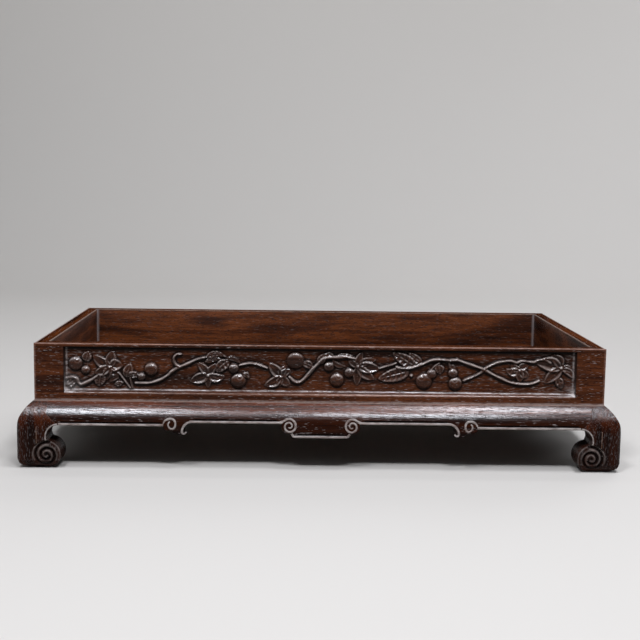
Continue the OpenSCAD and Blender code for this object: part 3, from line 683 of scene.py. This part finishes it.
    # a pale line at the wall's foot: wax and partly a painted highlight
    ledge = np.maximum(ledge, wearAndPaintedLightStrip("footWaxAndHighlight", aboveFoot))
    sides = wearAndPaintedLightStrip("endWax", toEnds - 1.2) * inField
    endShade = wearAndPaintedLightStrip("endShadow", toEnds - 0.25) * inField    # painted shade at each end
    dust = sunk * (1 - easeStep(relief / 0.5)) * (0.3 + 0.7 * easeStep((np.abs(across) - 88) / 30))
    spreads = {
        "carved": sunk * easeStep(relief / 0.7), "polish": polish,
        "crevice": np.maximum(np.maximum(crevice, marginShadow), endShade), "dust": dust, "rub": np.maximum(rub, paintedSheen),
        "bare": bare, "wax": np.maximum(np.maximum(ledge, corner), sides),
    }
    mark(piece, {spread: amount[row, column] for spread, amount in spreads.items()})
    clothe(piece, *(look + grain for look in ("wall", "arris", "inner", "rim")))

    # the board behind the carved face: first the end of the worn edge, then the full thickness with its mitres
    pick(piece)
    setMode("EDIT")
    bpy.ops.mesh.select_mode(type="VERT")
    for back in (board["wornEdge"], board["thick"]):
        bpy.ops.mesh.select_all(action="DESELECT")
        bpy.ops.mesh.select_non_manifold(extend=False, use_wire=False, use_multi_face=False,
                                         use_non_contiguous=False, use_verts=False)
        bpy.ops.mesh.extrude_region_move(TRANSFORM_OT_translate={"value": (0, back * mm, 0)})
        setMode("OBJECT")
        chosen = np.zeros(len(piece.data.vertices), bool)
        piece.data.vertices.foreach_get("select", chosen)
        spots = spotsOf(piece)
        spots[chosen, 1] = back - out
        ends = chosen & (np.abs(spots[:, 0]) > np.abs(spots[chosen, 0]).max() - 1e-3)
        spots[ends, 0] = np.sign(spots[ends, 0]) * (half - back)
        spots[chosen, 0] = np.clip(spots[chosen, 0], back - half, half - back)
        moveTo(piece, spots)
        for spread in spreads:
            layer = piece.data.attributes[spread].data
            amount = np.zeros(len(chosen), np.float32)
            layer.foreach_get("value", amount)
            amount[chosen] = 0
            layer.foreach_set("value", amount)
        setMode("EDIT")
    bpy.ops.mesh.edge_face_add()
    bpy.ops.mesh.select_all(action="SELECT")
    bpy.ops.mesh.normals_make_consistent(inside=False)
    bpy.ops.mesh.select_all(action="DESELECT")
    bpy.ops.mesh.select_mode(type="EDGE")
    inner = board["thick"] - out
    chooseEdges(piece, lambda p: abs(p.y / mm - inner) < 1e-3 and p.z / mm > board["rim"] - 1e-3)
    bpy.ops.mesh.bevel(offset=board["innerRound"] * mm, segments=3, material=1)
    setMode("OBJECT")
    for polygon in piece.data.polygons:    # the inside gets lighter tones, painted light
        if polygon.normal.y > 0.99 and polygon.center.y > (inner - 0.1) * mm:
            polygon.material_index = 2
        elif polygon.normal.z > 0.99 and polygon.center.y > (board["wornEdge"] - out) * mm:
            polygon.material_index = 3    # dry and dull along the rim
    bpy.ops.object.shade_smooth_by_angle(angle=math.radians(38))
    return turnBy(piece, 90 * side)


frontWall = carvedWall("front_wall_board", 0, -field["reach"], field["reach"], "X")
keep(frontWall, "wall_wood", "front_wall")
keep(placedCopy(frontWall, "back_wall_board", 180), "wall_wood", "back_wall")
keep(carvedWall("right_wall_board", 1, 0, field["reach"], "Y"), "wall_wood", "right_wall")
keep(carvedWall("left_wall_board", 3, -field["reach"], 0, "Y"), "wall_wood", "left_wall")


# Base: bulging aprons with a scrolled, beaded lower edge.
apron = {
    "top": 35, "out": 8, "bulgeRadius": 16, "bulgeAngle": 34, "shoulderAngle": 54,
    "outerEdge": 23, "innerEdge": 24.8, "tabletEdge": 17.6, "tabletHalf": 14.8,
    "volute": (16.35, 23.6), "voluteRadius": 3.85, "voluteTurn": 630,
    "hook": [72.8, 38], "hookHalf": 1.2, "hookTip": 18.9, "hookBend": 4.6,
    "curl": (4.7, 24.05),    # from the hook outwards and from the ground
    "curlLine": [(4.5, 0.2), (3.7, 1.7), (2.1, 2.55), (0.3, 2.7), (-1.2, 2.0), (-1.85, 0.3), (-1.5, -1.5),
                 (-0.2, -2.45), (1.2, -1.8), (1.9, -0.5), (1.7, 0.7), (1.0, 1.3)],
    "runStart": 9.1,    # where the outer run's bead starts, from the hook outwards
    "mitre": 13.5,
    "arris": 0.25,
}
bead = {
    "width": 1.25, "proud": 0.45, "grooveWidth": 0.9, "grooveDepth": 0.45,
    "taper": {"hook": (0.6, 6, 70), "curl": (0.6, 6, 20)},    # thinnest, and over how many points from each end
}
shoulderTurn, shoulderLead = math.radians(apron["bulgeAngle"]), math.radians(apron["shoulderAngle"])
bulgeReach = apron["bulgeRadius"] * (1 - math.cos(shoulderTurn))
slopeRadius = (apron["out"] - bulgeReach) / (math.cos(shoulderTurn) - math.cos(shoulderLead))
slopeFoot = apron["top"] - slopeRadius * (math.sin(shoulderLead) - math.sin(shoulderTurn))
bulgeFoot = slopeFoot - apron["bulgeRadius"] * math.sin(shoulderTurn)


def shoulderAt(height):    # how far the base stands out from the wall at a height, and how far its face looks up
    sine = np.where(np.asarray(height) > slopeFoot, math.sin(shoulderTurn) + (height - slopeFoot) / slopeRadius,
                    (height - bulgeFoot) / apron["bulgeRadius"])
    lean = np.arcsin(np.clip(sine, 0, math.sin(shoulderLead)))
    slope = slopeRadius * (np.cos(lean) - math.cos(shoulderLead))
    bulge = apron["out"] - apron["bulgeRadius"] * (1 - np.cos(lean))
    return np.where(np.asarray(height) > slopeFoot, slope, bulge), lean


def around(centre, reach, angle):
    turn = math.radians(angle)
    return centre[0] + reach * math.cos(turn), centre[1] + reach * math.sin(turn)


def spiralLine(centre, radius, inner, start, turn):
    count = int(turn / 15)
    return [around(centre, radius + (inner - radius) * (i / count) ** 1.15, start + turn * i / count)
            for i in range(count + 1)]


def beadLines(half, hook):    # right half: x from the middle, z from the ground
    edge = bead["width"] / 2
    upright = hook - apron["hookHalf"] + edge
    bend = (hook - apron["hookHalf"] - apron["hookBend"], apron["innerEdge"] - apron["hookBend"])
    run = apron["innerEdge"] + edge
    tip = apron["hookTip"]
    hookLine = [(upright - 2.3, tip + 1.3), (upright - 1.5, tip + 0.45), (upright - 0.6, tip + 0.35),
                (upright - 0.05, tip + 1.1)]
    hookLine += [around(bend, apron["hookBend"] + edge, angle) for angle in (12, 30, 50, 70, 90)]
    volute = apron["volute"]
    hookLine += [(bend[0] - 2, run), (volute[0] + 7, run), (volute[0] + 5.2, run + 0.1)]
    hookLine += spiralLine(volute, apron["voluteRadius"], 0.5, 48, apron["voluteTurn"])
    low, outer, end = apron["tabletEdge"] + edge, apron["outerEdge"] + edge, apron["tabletHalf"]
    return {
        "hook": hookLine,
        "curl": [(hook + apron["curl"][0] + x, apron["curl"][1] + z) for x, z in apron["curlLine"]],
        "outer": [(hook + apron["runStart"], outer), (half - apron["mitre"] - 0.3, outer)],
        "tablet": [(-0.05, low), (end - edge - 0.8, low), (end - edge, low + 0.4), (end + 0.5, low + 1.5)],
    }


def grooveLines(half, hook):    # the quirk above each straight run of bead
    lift = bead["width"] + bead["grooveWidth"] / 2
    inner, outer, low = apron["innerEdge"] + lift, apron["outerEdge"] + lift, apron["tabletEdge"] + lift
    return {
        "inner": [(apron["volute"][0] + 6.4, inner), (hook - 6.4, inner)],
        "outer": [(hook + apron["runStart"] + 1.2, outer), (half - apron["mitre"] - 1.2, outer)],
        "tablet": [(-0.05, low), (apron["tabletHalf"] - 2.6, low)],
    }


def tubeAlong(name, line, radius, sink, out, side, taper=(1, 1, 1)):
    curve = bpy.data.curves.new(name, "CURVE")
    curve.dimensions = "3D"
    curve.bevel_depth = radius * mm
    curve.bevel_resolution = 3
    curve.use_fill_caps = True
    spline = curve.splines.new("POLY")
    spline.points.add(len(line) - 1)
    for i, (point, (x, z)) in enumerate(zip(spline.points, line)):
        point.co = (x * mm, -(out + float(shoulderAt(z)[0]) - sink) * mm, z * mm, 1)
        thin, first, last = taper
        point.radius = thin + (1 - thin) * min(1, i / first, (len(line) - 1 - i) / last)
    tube = bpy.data.objects.new(name, curve)
    bpy.context.scene.collection.objects.link(tube)
    pick(tube)
    bpy.ops.object.convert(target="MESH")
    tube = bpy.context.object
    editAll()
    bpy.ops.mesh.remove_doubles(threshold=0.001 * mm)
    bpy.ops.mesh.normals_make_consistent(inside=False)
    setMode("OBJECT")
    return turnBy(tube, 90 * side)


def mergedCopy(nodeName, pieceName):    # a CAD node is loose triangles: one skin is made of a copy
    piece = bpy.data.objects.new(pieceName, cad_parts[nodeName].data.copy())
    bpy.context.scene.collection.objects.link(piece)
    clothe(pick(piece))
    bpy.ops.mesh.customdata_custom_splitnormals_clear()
    editAll()
    bpy.ops.mesh.remove_doubles(threshold=0.002 * mm)
    bpy.ops.mesh.dissolve_limited(angle_limit=math.radians(0.3))
    setMode("OBJECT")
    return piece


def finishWith(piece, kind, **settings):
    pick(piece)
    bpy.ops.object.modifier_add(type=kind)
    modifier = piece.modifiers[-1]
    for key, value in settings.items():
        setattr(modifier, key, value)
    bpy.ops.object.modifier_apply(modifier=modifier.name)


def joinAll(pieces, name):
    deselectAll()
    for piece in pieces:
        piece.select_set(True)
    bpy.context.view_layer.objects.active = pieces[0]
    bpy.ops.object.join()
    joined = bpy.context.object
    joined.name = name
    return joined


def easeShoulder(piece, *sides):    # shading follows the shoulder's true arcs, not the flats between their edges
    mesh = piece.data
    corners = np.zeros(len(mesh.loops), int)
    mesh.loops.foreach_get("vertex_index", corners)
    normals = np.zeros(len(mesh.loops) * 3)
    mesh.corner_normals.foreach_get("vector", normals)
    normals = normals.reshape(-1, 3)
    spots = spotsOf(piece)[corners]
    reach, lean = shoulderAt(spots[:, 2])
    for side in sides:
        turn = math.radians(90 * side)
        outward = np.array([math.sin(turn), -math.cos(turn)])
        true = np.column_stack([np.outer(np.cos(lean), outward), np.sin(lean)])
        near = np.abs(spots[:, :2] @ outward - board["out"][side] - reach) < 0.09
        onFace = near & ((normals * true).sum(1) > 0.9)
        normals[onFace] = true[onFace]
    mesh.normals_split_custom_set(normals)


def beadedApron(nodeName, side, grain):
    half, hook, out = board["half"][side], apron["hook"][side], board["out"][side]
    piece = mergedCopy(nodeName, nodeName + "_beaded")
    finishWith(piece, "BEVEL", width=apron["arris"] * mm, segments=2, limit_method="ANGLE",
               angle_limit=math.radians(40))
    radius, grooveRadius = bead["width"] / 2, bead["grooveWidth"] / 2
    sink = bead["grooveDepth"] - grooveRadius
    tools, beads = [], []
    for end in (1, -1):
        for name, line in grooveLines(half, hook).items():
            line = [(end * x, z) for x, z in line]
            tools.append(tubeAlong("quirk_" + name, line, grooveRadius, sink, out, side))
        for name, line in beadLines(half, hook).items():
            line = [(end * x, z) for x, z in (line if name == "outer" else smoothLine(line, 0.45))]
            taper = bead["taper"].get(name, (1, 1, 1))
            beads.append(tubeAlong("bead_" + name, line, radius, radius - bead["proud"], out, side, taper))
    quirks = joinAll(tools, "quirks")
    for target in (piece, quirks):
        clothe(target, "base" + grain, "quirk")
    for polygon in quirks.data.polygons:
        polygon.material_index = 1
    finishWith(piece, "BOOLEAN", object=quirks, operation="DIFFERENCE", solver="EXACT", use_self=True)
    bpy.data.objects.remove(quirks)
    for strip in beads:
        clothe(strip, "bead" + grain)
    piece = joinAll([piece] + beads, nodeName + "_beaded")
    bpy.ops.object.shade_smooth_by_angle(angle=math.radians(32))
    return piece


for first, second, side, grain in (("front_apron", "back_apron", 0, "X"), ("right_apron", "left_apron", 1, "Y")):
    piece = beadedApron(first, side, grain)
    copy = placedCopy(piece, second + "_beaded", 180)
    easeShoulder(piece, side)
    easeShoulder(copy, side + 2)
    keep(piece, "base_wood", first)
    keep(copy, "base_wood", second)


# Legs: one block each, with a scroll cut in both outer faces of the foot.
leg = {
    "corner": (-150, -80), "out": 8, "voxel": 0.34, "smoothing": 2,
    "footRadius": 7.4, "cutStart": 72, "cutTurn": 630, "cutEdge": 0.4, "eye": 1.9, "ease": 0.75,
    "cutWidth": 0.75, "cutDepth": 1.6, "pit": 1.2, "ridge": 1.3, "outline": 7.3, "outlineTurn": 75,
    "knee": (13.5, 17), "kneeRadius": 6, "kneeTail": [(6.95, 16), (7.3, 15.1)], "kneeBead": 0.45,
    "line": [(2.4, 22.2), (2.4, 13.4)], "lineBead": 0.28,
}


def spiralCut(inward, height):    # how far a foot's face is cut in the groove, and the painted highlight on the ridge beside it
    radius, start, turn = leg["footRadius"], leg["cutStart"], leg["cutTurn"]
    x, z = inward - radius, height - radius
    reach, angle = np.hypot(x, z), np.degrees(np.arctan2(z, x))
    first = radius - leg["cutEdge"]
    near = np.full(reach.shape, 99.0)
    for lap in (0, 360):
        wound = (angle - start) % 360 + lap
        groove = first - (first - leg["eye"]) * (np.clip(wound, 0, turn) / turn) ** leg["ease"]
        near = np.where(wound <= turn, np.minimum(near, np.abs(reach - groove)), near)
    rim = np.abs(reach - leg["outline"]) + 9 * ((angle - start) % 360 > leg["outlineTurn"])
    cut = np.maximum(bell(near, leg["cutWidth"]), 0.9 * bell(reach, leg["pit"]))
    cut = np.maximum(cut * (reach < radius + 0.4), 0.6 * bell(rim, 0.5))
    ridge = bell(near - leg["ridge"], 0.45) * (reach < radius)
    ridge = np.maximum(ridge, bell(reach - radius, 0.4) * (np.abs(angle) < start))
    ridge *= 0.3 + 0.7 * np.clip(0.4 + z / radius, 0, 1)    # painted highlight, strongest where it faces up
    return cut, ridge


frontLeg = mergedCopy("front_left_leg", "front_left_leg_carved")
finishWith(frontLeg, "REMESH", mode="VOXEL", voxel_size=leg["voxel"] * mm)
spots = spotsOf(frontLeg)
reach = shoulderAt(spots[:, 2])[0]
for axis in (1, 0):
    flush = np.abs(leg["corner"][axis] - spots[:, axis] - reach) < 0.3    # the remesh is put back on the shoulder
    spots[flush, axis] = leg["corner"][axis] - reach[flush]
marks = {"crevice": np.zeros(len(spots)), "rub": np.zeros(len(spots))}
for axis, other in ((1, 0), (0, 1)):
    sunk = leg["out"] + spots[:, axis] - leg["corner"][axis]    # how far behind the leg's face
    cut, ridge = spiralCut(spots[:, other] - leg["corner"][other], spots[:, 2])
    cut, ridge = cut * (sunk < leg["cutDepth"]), ridge * (sunk < 0.5)
    spots[:, axis] += np.maximum(leg["cutDepth"] * cut - np.clip(sunk, 0, None), 0)
    # painted shade in the cut
    marks["crevice"] = np.maximum(marks["crevice"], easeStep((cut - 0.25) / 0.5))
    toe = 0.7 * bell(spots[:, 2] - 1.2, 0.9) * (sunk < 0.8)    # the sole's edge is knocked
    marks["rub"] = np.maximum(marks["rub"], np.maximum(ridge, toe))
moveTo(frontLeg, spots)
mark(frontLeg, marks)
finishWith(frontLeg, "SMOOTH", factor=0.5, iterations=leg["smoothing"])
clothe(frontLeg, "leg")
reach = leg["kneeRadius"] + leg["kneeBead"] + 0.1
knee = [around(leg["knee"], reach, angle) for angle in range(92, 181, 8)] + leg["kneeTail"]
strips = [frontLeg]
for line, radius in ((knee, leg["kneeBead"]), (leg["line"], leg["lineBead"])):
    for side, shift, turn in ((0, leg["corner"][0], 1), (3, -leg["corner"][1], -1)):
        placed = [(shift + turn * x, z) for x, z in line]
        strip = tubeAlong("leg_line", placed, radius, radius * 0.6, board["out"][side], side)
        clothe(strip, "beadX" if line is knee else "arrisX")
        strips.append(strip)
frontLeg = joinAll(strips, "front_left_leg_carved")
pick(frontLeg)
bpy.ops.object.shade_smooth()
legs = {"front_left_leg": frontLeg}
for name, flip in (("front_right_leg", (-1, 1, 1)), ("back_right_leg", (-1, -1, 1)),
                   ("back_left_leg", (1, -1, 1))):
    legs[name] = placedCopy(frontLeg, name + "_carved", flip=flip)
    editAll()
    bpy.ops.mesh.normals_make_consistent(inside=False)
    setMode("OBJECT")
for (name, piece), sides in zip(legs.items(), ((0, 3), (0, 1), (1, 2), (2, 3))):
    easeShoulder(piece, *sides)
    keep(piece, "base_wood", name)


nodeWoods = {"_key": "key", "_pegs": "bamboo", "_batten": "batten", "_floor": "floor", "_leg": "leg",
             "front_apron": "baseX", "back_apron": "baseX"}
for name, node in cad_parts.items():    # the CAD nodes: floor, battens, keys and pegs stay as they are
    kinds = [kind for ending, kind in nodeWoods.items() if name.endswith(ending)]
    clothe(node, kinds[0] if kinds else "baseY")
